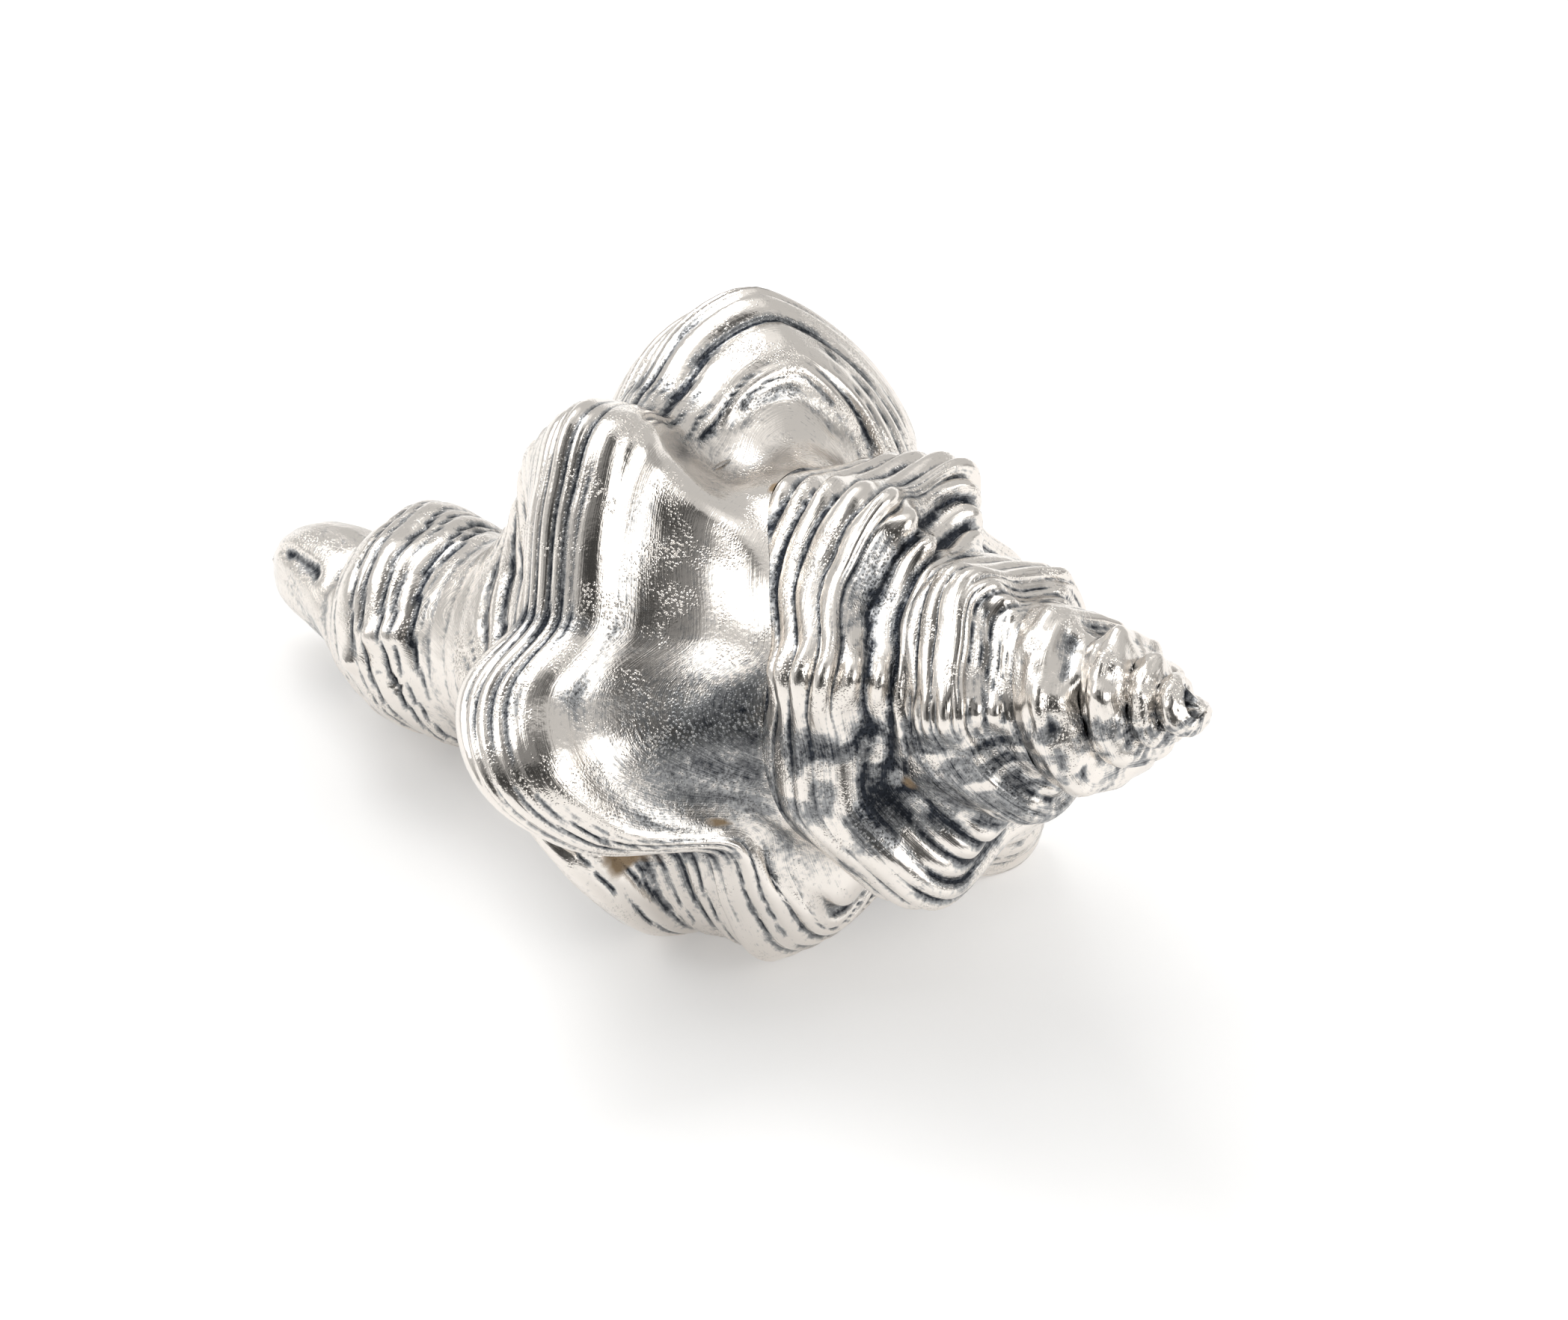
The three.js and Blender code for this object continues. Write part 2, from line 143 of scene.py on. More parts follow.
def profile(a):
    a = np.asarray(a, float)
    kr, kh, sr, sh = keel_r(a), keel_h(a), sut_r(a), sut_h(a)
    yr, yh = sut_r(a - 360), sut_h(a - 360)
    t = np.clip((a - END + 360) / 360, 0, 1)
    s, k = smooth(t), np.sqrt(1 - t * t)
    sr, sh = sr * (1 - s), sh + (CAP - 0.02 - sh) * (1 - (1 - t) ** 2)
    kr, kh = kr * k, kh + (CAP - kh) * (1 - k)
    dr, dh = kr - sr, kh - sh
    L = np.hypot(dr, dh) + 1e-9
    nr, nh = dh / L, -dr / L
    v = varix(a)
    P = []
    add = lambda r, h: P.append(np.stack([r + 0 * a, h + 0 * a], -1))
    ramp = lambda u, c: add(sr + dr * u + nr * c * L, sh + dh * u + nh * c * L)
    add(sr, sh)
    f = rim_f(np.minimum(a, 2300))
    cap = smooth((a - END + 420) / 120)
    deep = (1 - 3.2 * cap) * (0.45 + 0.55 * smooth((f - 0.55) / 0.2)) * (1 + 0.3 * smooth((a - 240) / 60)) * (1 - 0.35 * bump(a, 66, 44))
    rl = 0.35 + 0.65 * smooth((a - 100) / 40)
    ramp(0.14 * f, 0.045 * deep - 0.09 * rl * varix(a - 4))
    ramp(0.38 * f, 0.125 * deep - 0.19 * rl * v)
    ramp(0.66 * f, 0.085 * deep - 0.15 * (0.3 + 0.7 * rl) * varix(a + 3))
    ramp(0.87 * f + 0.1 * (1 - f), -0.02 - 0.04 * varix(a + 6) - (0.22 - 0.1 * smooth((10 - a) / 30)) * (1 - f))
    add(kr, kh)
    al = np.minimum(a, 264)
    lr, lh = low_r(al), low_h(al)
    w = smooth((a - 225) / 60)
    s6r, s6h = kr + 0.30 * (yr - kr) + 0.05 * L, kh + 0.45 * (yh - kh)
    add((kr - 0.06 * L) * (1 - w) + s6r * w, (kh - 0.14 * L) * (1 - w) + s6h * w)
    pk = 0.05 + 0.14 * bump(a, 116, 20) + 0.04 * bump(a, -15, 12) - 0.10 * bump(a, -50, 18) - 0.06 * bump(a, 30, 18)
    w = smooth((a - 200) / 62)
    b = a < 265
    add(np.where(b, (0.5 * (kr + lr) - pk * L) * (1 - w) + sut_r(LIP) * w, yr),
        np.where(b, 0.5 * (kh - 0.16 * L + lh) * (1 - w) + sut_h(LIP) * w, yh))
    add(lr, lh)
    add(0.30 * lr + 0.70 * 7.8, 0.35 * lh - 0.65 * 20.8)
    lo = np.cos(np.radians(a - 150))
    for r, h in ((7.5 + 0.9 * lo, -23.3), (8.1 + 0.3 * lo, -28.4), (8.1 - 0.2 * lo, -32.4), (5.3 + 0.2 * lo, -36.2),
                 (4.5, -39.8), (3.1, -44.2), (0.0, -47.6)):
        add(r, h)
    # the smallest whorls are rounded beads
    w = smooth((a - 1060) / 140)
    er, eh = yr - sr, yh - sh
    for j in range(8):
        c = 0.42 * (0.86 + 0.36 * v) * math.sin(math.pi * j / 7) * (1 - smooth((a - END + 100) / 100))
        P[j] = P[j] * (1 - w)[..., None] + np.stack([sr + er * j / 7 - eh * c, sh + eh * j / 7 + er * c], -1) * w[..., None]
    return np.stack(P, -2)


def through(P, v):
    n = P.shape[-2]
    i = np.clip(np.floor(v).astype(int), 0, n - 2)
    u = (v - i)[:, None]
    E = np.concatenate([2 * P[..., 0:1, :] - P[..., 1:2, :], P, 2 * P[..., n - 1:n, :] - P[..., n - 2:n - 1, :]], -2)
    p0, p1, p2, p3 = (E[..., i + k, :] for k in range(4))
    return 0.5 * (2 * p1 + (p2 - p0) * u + (2 * p0 - 5 * p1 + 4 * p2 - p3) * u * u
                  + (3 * p1 - p0 - 3 * p2 + p3) * u ** 3)


def turn(p):
    """shell axes (along, up, across) to the resting frame, rotation only"""
    T, ro, pi = rad(AXIS_TILT), rad(ROLL), rad(PITCH)
    h, u, w = p[..., 0], p[..., 1], p[..., 2]
    x, y, z = h * math.cos(T) - u * math.sin(T), -w, h * math.sin(T) + u * math.cos(T)
    y, z = y * math.cos(ro) - z * math.sin(ro), y * math.sin(ro) + z * math.cos(ro)
    return np.stack([x * math.cos(pi) + z * math.sin(pi), y, -x * math.sin(pi) + z * math.cos(pi)], -1)


def place(a, r, h):
    o = np.interp(h, CANAL_H, CANAL_OFF)
    u = r * np.cos(np.radians(a)) + o * math.cos(rad(CANAL_BEND))
    w = r * np.sin(np.radians(a)) + o * math.sin(rad(CANAL_BEND))
    return turn(np.stack([h + 0 * u, u, w], -1)) + MOVE

# ---------------------------------------------------------------- fine relief
NC = 200                                    # columns of one whorl
TOP = np.concatenate([np.linspace(0, 3.4, 17), np.linspace(3.4, 7, 51)[1:]])      # rows of a spire whorl
LOW = np.concatenate([np.linspace(7, 10, 53)[1:], np.linspace(10, 13.2, 46)[1:], np.linspace(13.2, 15.999, 22)[1:]])
SUT_ROW = len(TOP) - 1
MOUTH_ROW = SUT_ROW + 52


# place from the keel (mm), depth and half-width of the grooves in the rim
RIM_GROOVES = [(-2.85, 0.16, 0.20), (-2.0, 0.30, 0.24), (-1.0, 0.34, 0.24), (0.2, 0.24, 0.20), (1.05, 0.24, 0.20)]
TOP_GROOVES = [(3.4, 0.45, 0.4), (1.4, 0.50, 0.32), (0.3, 0.22, 0.2), (-0.5, 0.34, 0.25), (-1.2, 0.2, 0.2), (-3.3, 0.75, 0.55)]
SWELLING_GROOVES = [(-10.9, 0.16, 0.3), (-8.1, 0.34, 0.26), (-7.2, 0.42, 0.3), (-5.6, 0.24, 0.22), (-4.5, 0.30, 0.25), (-2.6, 0.26, 0.25), (-1.6, 0.22, 0.22)]
# angle, row, half-widths (degrees, rows) and strength of dark patches on the ramp and under the keel of the last
# whorl: painted dark reflection and painted shade
PAINTED_SHADE_PATCHES = [(72, 0.4, 26, 0.5, 0.50), (80, 1.35, 17, 1.15, 0.62), (104, 1.6, 16, 1.5, 0.60), (128, 1.6, 12, 1.4, 0.35), (84, 0.6, 16, 1.0, 0.40), (112, 6.6, 22, 1.2, 0.45), (150, 7.6, 24, 1.2, 0.35)]
# angle, row, half-widths (degrees, rows) of the places where brown shell shows
STAINS = [(114, 7.25, 6, 0.38), (109, 2.83, 3.5, 0.26), (471, 1.6, 4.5, 0.45), (1222, 4.8, 4, 0.3), (-8, 0.1, 4, 0.25)]


def hash2(i, j, seed=0):
    """steady value in 0..1 for each pair of whole numbers"""
    n = (np.asarray(i, np.int64) * 374761393 + np.asarray(j, np.int64) * 668265263 + seed * 982451653) & 0x7fffffff
    n = ((n ^ (n >> 13)) * 1274126177) & 0x7fffffff
    n = (n ^ (n >> 16)) & 0xffff
    return n / 65535.0


def noise(x, y, seed=0):
    i, j = np.floor(x), np.floor(y)
    u, v = x - i, y - j
    u, v = u * u * (3 - 2 * u), v * v * (3 - 2 * v)
    a, b = hash2(i, j, seed), hash2(i + 1, j, seed)
    c, d = hash2(i, j + 1, seed), hash2(i + 1, j + 1, seed)
    return (a * (1 - u) + b * u) * (1 - v) + (c * (1 - u) + d * u) * v


def cords(x, sharp=1.0):
    """round cords with narrow grooves between them; x counts cords; -1 in the groove, 0 on top"""
    f = np.abs(((x + 0.5) % 1.0) - 0.5) * 2          # 0 on the cord, 1 in the groove
    return -(f ** (2.1 * sharp))


def cord_size(x, seed):
    """cords differ in strength from one to the next"""
    i = np.floor(x + 0.5)
    return 0.4 + 0.95 * hash2(i, i * 0 + seed, seed)


def relief(a, v, s5, s8, s12):
    """height in mm above the plain surface, and how dark the tarnish and painted shade are (0..1).
    s5, s8 and s12 are the distances in mm from the keel, the lower frill and the swelling's crest"""
    wob = 0.9 * (noise(a / 23.0, s5 * 0.12, 3) - 0.5) + 0.18 * (noise(a / 16.0, s5 * 0.3, 4) - 0.5)
    vx = np.clip(varix(a), 0, 1)
    size = np.clip((APEX - sut_h(a)) / 22.0, 0.12, 1.0)
    f = rim_f(np.minimum(a, 2300))
    h = 0 * v * a
    patina_and_shade = 0 * h
    body = a < 265

    def band(lo, lw, hi, hw, x=None):
        x = v if x is None else x
        return smooth((x - lo) / lw) * (1 - smooth((x - hi) / hw))

    def lay(mask, x, height, dirt, cut=0.36):
        nonlocal h, patina_and_shade
        k = cord_size(x, 11)
        c = cords(x)
        h = h + mask * height * c * k
        patina_and_shade = patina_and_shade + mask * smooth((-c - cut) / 0.55) * dirt * k

    # rim of the last whorl: a few grooves of uneven depth beside broad smooth cords
    start = 3.42 - 1.25 * np.clip(0.80 - f, 0, 1) / 0.25
    m = band(start, 0.35, 7.0, 0.35) * body
    near = smooth((a + 8) / 20) * (1 - smooth((a - 108) / 20))
    x = s5 + 0.35 * wob + 0.6 * smooth((a - 45) / 30)
    for s0, depth, wide in RIM_GROOVES:
        g = bump(x, s0, wide) * m * near * (0.75 + 0.5 * noise(a / 20.0, s0 * 3.0, 31))
        h = h - depth * g
        patina_and_shade = patina_and_shade + 1.5 * depth * g
    under = smooth((s5 - 1.9) / 0.5)
    lay(m * near * under, (s5 + 0.4 * wob) / 1.05, 0.22, 0.50)
    top = body * bump(a, -34, 22) * band(3.6, 0.5, 7.3, 0.4)
    far = m * (1 - near) * (1 - 0.75 * top)
    lay(far, (s5 + 0.6 * wob) / 1.35, 0.24, 0.34)
    lay(far, (s5 + wob) / 2.6 + 0.3, 0.22, 0.0)
    # broad lobes and deep grooves on the top knob
    for s0, depth, wide in TOP_GROOVES:
        g = bump(s5 + 0.3 * wob, s0, wide) * top
        h = h - depth * g
        patina_and_shade = patina_and_shade + 0.8 * depth * g
    # lower frill
    m = band(7.0, 0.3, 9.1, 0.4) * body
    lay(m, (s8 + 0.6 * wob) / 1.75, 0.30, 0.28)
    lay(m, (s8 + wob) / 2.9 + 0.2, 0.40, 0.0)
    # waist
    m = band(9.2, 0.4, 10.6, 0.4) * body
    lay(m, (s12 + 0.4 * wob) / 1.6, 0.09, 0.14)
    # swelling
    m = band(10.1, 0.4, 13.0, 0.3) * body
    x = s12 + 0.8 * wob + 0.018 * (a - 50)
    for s0, depth, wide in SWELLING_GROOVES:
        g = bump(x, s0, wide) * m * (0.5 + noise(a / 30.0, s0 * 2.0, 33))
        h = h - depth * g
        patina_and_shade = patina_and_shade + 1.25 * depth * g
    lay(m * smooth((x + 0.5) / 0.8), x / 1.9 + 0.2, 0.30, 0.32)
    h = h + m * 0.7 * (noise(a / 26.0, s12 / 3.4, 34) - 0.45)
    h = h + body * (0.8 * bump(v, 10.75, 0.28) * bump(a, 66, 8) + 0.6 * bump(v, 11.2, 0.2) * bump(a, 68, 6) + 0.6 * bump(v, 11.7, 0.2) * bump(a, 82, 6))
    # crack in the swelling
    cr = np.abs(s12 + 5.2 + 0.10 * (a - 92) + 1.2 * (noise(a / 2.6, 0 * a, 35) - 0.5))
    g = body * bump(cr, 0, 0.22) * bump(a, 92, 5) * band(10.0, 0.3, 12.0, 0.3)
    h = h - 0.7 * g
    patina_and_shade = patina_and_shade + 1.2 * g
    # canal
    m = smooth((v - 13.2) / 0.4) * body
    h = h + m * (0.55 * (noise(a / 34.0, v * 1.3, 5) - 0.5) - 0.6 * bump(a, 44, 9) * band(13.5, 0.3, 14.6, 0.4))
    patina_and_shade = patina_and_shade + m * (0.10 + 0.34 * noise(a / 14.0, v * 3.0, 6) + 0.5 * bump(a, 44, 8) * band(13.5, 0.3, 14.6, 0.4))
    # spire: broad cords on the second whorl, a broad cord and fine threads above it
    big = 1 - smooth((a - 600) / 30)
    turnd = (a - 60.0) % 360.0
    worn = 1 - 0.78 * smooth((turnd - 8) / 25) * (1 - smooth((turnd - 110) / 30))
    plain = 1 - smooth((a - 1010) / 90)
    m = band(0.4, 0.4, 6.9, 0.12) * ~body * worn * plain
    xs = s5 / size + wob + 1.3 * (noise(a / 40.0, s5 * 0.22, 51) - 0.5)
    lay(m * big, xs / 2.15 + 0.35, 0.50 * size, 0.62, 0.30)
    lay(m * big, xs / 0.55, 0.05 * size, 0.2)
    side = m * (1 - big) * band(4.3, 0.4, 6.9, 0.12)
    lay(side, xs / 2.8 + 0.2, 0.53 * size, 0.62, 0.35)
    lay(m * (1 - big) * (1 - band(4.0, 0.4, 7.5, 0.12)), xs / 1.05, 0.13 * size, 0.5)
    # cords swell into knobs where they cross a varix
    m = band(0.8, 0.5, 6.9, 0.15) * ~body * plain
    h = h + m * vx ** 2 * size * 1.0 * (np.clip(1 + cords(xs / 2.15 + 0.35), 0, 1) - 0.35)
    m = band(start - 0.5, 0.4, 7.0, 0.5) * body
    h = h + m * vx * 0.35 * (np.clip(1 + cords((s5 + wob) / 2.9 + 0.15), 0, 1) - 0.3)
    # lumpy small whorls
    m = smooth((a - 900) / 200)
    h = h + m * size * 1.1 * (noise(a / 17.0, s5 / size * 0.45, 21) - 0.5)
    h = h + 0.05 * (noise(a / 8.0, s5 * 0.9, 22) - 0.5)
    # spire whorls: grey on the side turned from the light is painted shade; darker along the sutures, patina in the
    # hollows; a darker band on the ramp of the first spire whorl; then the listed dark patches of the last whorl,
    # painted dark reflection and painted shade
    # painted shade: darker grey over the side of each spire whorl turned from the light
    m = ~body * smooth((turnd - 12) / 12) * (1 - smooth((turnd - 95) / 25))
    patina_and_shade = patina_and_shade + m * (0.16 + 0.62 * smooth((noise(a / 6.0, s5 * 0.5, 41) - 0.30) / 0.25))
    patina_and_shade = patina_and_shade + ~body * (bump(v, 7.0, 0.35) + bump(v, 0.0, 0.5)) * 0.5
    patina_and_shade = patina_and_shade + ~body * big * bump(turnd, 320, 30) * band(0.2, 0.4, 3.6, 0.6) * 0.45
    # painted dark reflection and painted shade: dark patches on the ramp and under the keel of the last whorl
    for ca, cv_, wa, wv, k in PAINTED_SHADE_PATCHES:
        patina_and_shade = patina_and_shade + k * bump(a, ca, wa) * bump(v, cv_, wv) * (0.5 + noise(a / 5.0, s5 * 0.8, 42))
    return h, np.clip(patina_and_shade, 0, 1)


def normals(X, wrap=None):
    du = np.empty_like(X)
    du[1:-1] = X[2:] - X[:-2]
    du[0], du[-1] = X[1] - X[0], X[-1] - X[-2]
    dv = np.empty_like(X)
    dv[:, 1:-1] = X[:, 2:] - X[:, :-2]
    dv[:, 0], dv[:, -1] = X[:, 1] - X[:, 0], X[:, -1] - X[:, -2]
    n = np.cross(dv, du)
    return n / (np.linalg.norm(n, axis=-1, keepdims=True) + 1e-12)


def build():
    V, F, patina_and_shade, coord = [], [], [], []
    count = 0

    def strip(X, D, UV, rows, ids=None):
        nonlocal count
        n, m = X.shape[:2]
        V.append(X.reshape(-1, 3)); patina_and_shade.append(D.reshape(-1)); coord.append(UV.reshape(-1, 3))
        g = np.arange(n * m).reshape(n, m) + count
        count += n * m
        return g

    def quads(g):
        q = np.stack([g[:-1, :-1], g[:-1, 1:], g[1:, 1:], g[1:, :-1]], -1).reshape(-1, 4)
        F.append(q)

    groups = [(LIP, LIP + 360, NC, True), (LIP + 360, LIP + 1080, NC * 2, False), (LIP + 1080, END, int(NC / 2 * (WHORLS - 3)), False)]
    body_rows = None
    for k, (a0, a1, n, low) in enumerate(groups):
        a = np.linspace(a0, a1, n + 1)
        P = profile(a)
        rows = TOP[::2] if k == 2 else TOP
        S = through(P[:, :8], rows)
        if low:
            B = through(P, np.concatenate([TOP, LOW]))
            w = smooth((a - 225) / 40)[:, None, None]
            B[:, :SUT_ROW + 1] = B[:, :SUT_ROW + 1] * (1 - w) + S * w
            S, rows = B, np.concatenate([TOP, LOW])
            body_rows = B
        A = np.broadcast_to(a[:, None], S.shape[:2])
        R = np.broadcast_to(rows[None, :], S.shape[:2])
        X = place(A, S[..., 0], S[..., 1])
        N = normals(X)
        s = np.cumsum(np.concatenate([np.zeros((len(a), 1)), np.linalg.norm(np.diff(X, axis=1), axis=-1)], 1), 1)
        from_row = lambda r: s - s[:, [min(int(np.searchsorted(rows, r)), len(rows) - 1)]]
        h, d = relief(A, R, from_row(5.0), from_row(8.0), from_row(12.0))
        if low:                              # the lip edge keeps its plain outline where the mouth starts
            e = smooth((A - LIP) / 3.0)
            h = h * np.where(R > 10, 1, e)
            f = 1 - smooth((A - (LIP + 352)) / 8.0)
            h = h * np.where((R > 7) & (R < 10), f, 1)
        h = h * smooth((END - A) / 60)
        X = X + N * h[..., None]
        g = strip(X[:, ::1], d, np.stack([A / 360.0, from_row(5.0) / 10.0, R / 16.0], -1), rows)
        if low:
            g[0, MOUTH_ROW:] = g[-1, MOUTH_ROW:]
        quads(g)
        if k == 0:
            first = g
    # tip and top
    V.append(np.array([place(np.array(0.0), np.array(0.0), np.array(-47.6)), place(np.array(0.0), np.array(0.0), np.array(CAP))]))
    patina_and_shade.append(np.zeros(2)); coord.append(np.zeros((2, 3)))
    tip, pole = count, count + 1
    count += 2
    tris = [np.stack([first[:-1, -1], np.full(NC, tip), first[1:, -1]], -1)]
    top = g[-int(NC / 2) - 1:, 0]
    tris.append(np.stack([top[:-1], top[1:], np.full(len(top) - 1, pole)], -1)[:, ::-1])
    # the hollow of the mouth
    B = body_rows
    inner = B[-1][SUT_ROW:MOUTH_ROW + 1]
    ring = np.concatenate([first[0, :MOUTH_ROW + 1], first[-1, SUT_ROW + 1:MOUTH_ROW][::-1]])
    n = len(inner)
    s = np.linspace(0, 1, n)[::-1][1:-1, None]
    steps = int(NC * 0.30)
    for k in range(1, steps + 1, 1):
        a = LIP + 360.0 * k / NC
        outer = B[k][:MOUTH_ROW + 1]
        q = np.concatenate([outer, inner[::-1][1:-1] + (1 - s) * 0 + s * (outer[-1] - inner[-1]) + (1 - s) * (outer[0] - inner[0])])
        e = np.roll(q, -4, 0) - np.roll(q, 4, 0)
        e = np.stack([-e[:, 1], e[:, 0]], -1) / (np.hypot(e[:, 0], e[:, 1])[:, None] + 1e-9)
        c = q.mean(0)
        sign = np.sign(((c - q) * e).sum(1).mean())
        t = WALL * min(1, math.sqrt(k * 72 / NC / 3.0))
        shrink = 1 - 0.5 * max(0, (k - steps * 0.7) / (steps * 0.3)) ** 2
        j = np.arange(len(q))
        near = bump(np.minimum(j, len(q) - j) / len(q), 0, 0.09) + 0.8 * bump((j - MOUTH_ROW) / len(q), 0, 0.06)
        q = q + sign * e * t
        q = c + (q - c) * (1 - 0.42 * smooth(k / 12.0) * near[:, None]) * shrink
        X = place(np.full(len(q), a), q[:, 0], q[:, 1])
        V.append(X); patina_and_shade.append(np.full(len(q), 0.25)); coord.append(np.stack([np.full(len(q), a / 360.0), np.linspace(0, 4, len(q)), np.full(len(q), -1.0)], -1))
        nxt = np.arange(len(q)) + count
        count += len(q)
        F.append(np.stack([ring, nxt, np.roll(nxt, -1), np.roll(ring, -1)], -1))
        ring = nxt
    V.append(place(np.array(a), c[0], c[1])[None]); patina_and_shade.append(np.array([0.4])); coord.append(np.zeros((1, 3)))
    tris.append(np.stack([ring, np.full(len(ring), count), np.roll(ring, -1)], -1))
    return np.concatenate(V), np.concatenate(F), np.concatenate(tris), np.concatenate(patina_and_shade), np.concatenate(coord)


def recess(V, Q, T, rounds, every):
    """how far each vertex lies below the average of its neighbourhood, in mm, after some rounds of smoothing"""
    e = np.concatenate([Q[:, [0, 1]], Q[:, [1, 2]], Q[:, [2, 3]], Q[:, [3, 0]], T[:, [0, 1]], T[:, [1, 2]]])
    e = np.concatenate([e, e[:, ::-1]])
    n = len(V)
    deg = np.bincount(e[:, 0], minlength=n).astype(float) + 1e-9
    S = V.copy()
    out = []
    for k in range(1, rounds + 1):
        S = np.stack([np.bincount(e[:, 0], weights=S[e[:, 1], c], minlength=n) / deg for c in range(3)], -1)
        if k in every:
            out.append(S.copy())
    q = Q
    fn = np.cross(V[q[:, 2]] - V[q[:, 0]], V[q[:, 3]] - V[q[:, 1]])
    N = np.zeros_like(V)
    for c in range(4):
        for d in range(3):
            N[:, d] += np.bincount(q[:, c], weights=fn[:, d], minlength=n)
    N /= np.linalg.norm(N, axis=1, keepdims=True) + 1e-12
    return [((s - V) * N).sum(1) for s in out]


V, Q, T, VERTEX_PATINA_SHADE, COORD = build()
c1, c2, c3 = recess(V, Q, T, 48, (2, 12, 48))
angle, row = COORD[:, 0] * 360, COORD[:, 2] * 16
open_ramp = (angle < 264) & (row < 3.3)
VERTEX_PATINA_SHADE = np.clip(VERTEX_PATINA_SHADE * 0.75 + np.clip(c1 * 6.0, -0.3, 0.5) * np.where(open_ramp, 0.3, 1) + np.clip(c2 * np.where(open_ramp, 0.15, 1.2), -0.3, 0.35), 0, 1)
V[:, 2] = np.maximum(V[:, 2], 0.0)
V = V / 1000.0
me = bpy.data.meshes.new("shell_silver")
me.vertices.add(len(V))
me.vertices.foreach_set("co", V.astype(np.float32).ravel())
loops = np.concatenate([Q.ravel(), T.ravel()]).astype(np.int32)
me.loops.add(len(loops))
me.loops.foreach_set("vertex_index", loops)
me.polygons.add(len(Q) + len(T))
me.polygons.foreach_set("loop_start", np.concatenate([np.arange(len(Q)) * 4, len(Q) * 4 + np.arange(len(T)) * 3]).astype(np.int32))
me.update(calc_edges=True)
me.validate(clean_customdata=False)
me.polygons.foreach_set("use_smooth", np.ones(len(me.polygons), bool))
# per-vertex darkness: patina in the hollows plus painted shade and painted dark reflection
at = me.attributes.new("tarnish_and_shade", "FLOAT", "POINT")
at.data.foreach_set("value", VERTEX_PATINA_SHADE.astype(np.float32))
at = me.attributes.new("along", "FLOAT_VECTOR", "POINT")
at.data.foreach_set("vector", COORD.astype(np.float32).ravel())
stain = 0 * angle
for ca, cr, wa, wr in STAINS:
    stain = np.maximum(stain, bump(angle, ca, wa) * bump(row, cr, wr))
at = me.attributes.new("stain", "FLOAT", "POINT")
at.data.foreach_set("value", stain.astype(np.float32))
print("triangles", len(Q) * 2 + len(T))
shell = bpy.data.objects.new("shell_silver", me)
bpy.context.scene.collection.objects.link(shell)


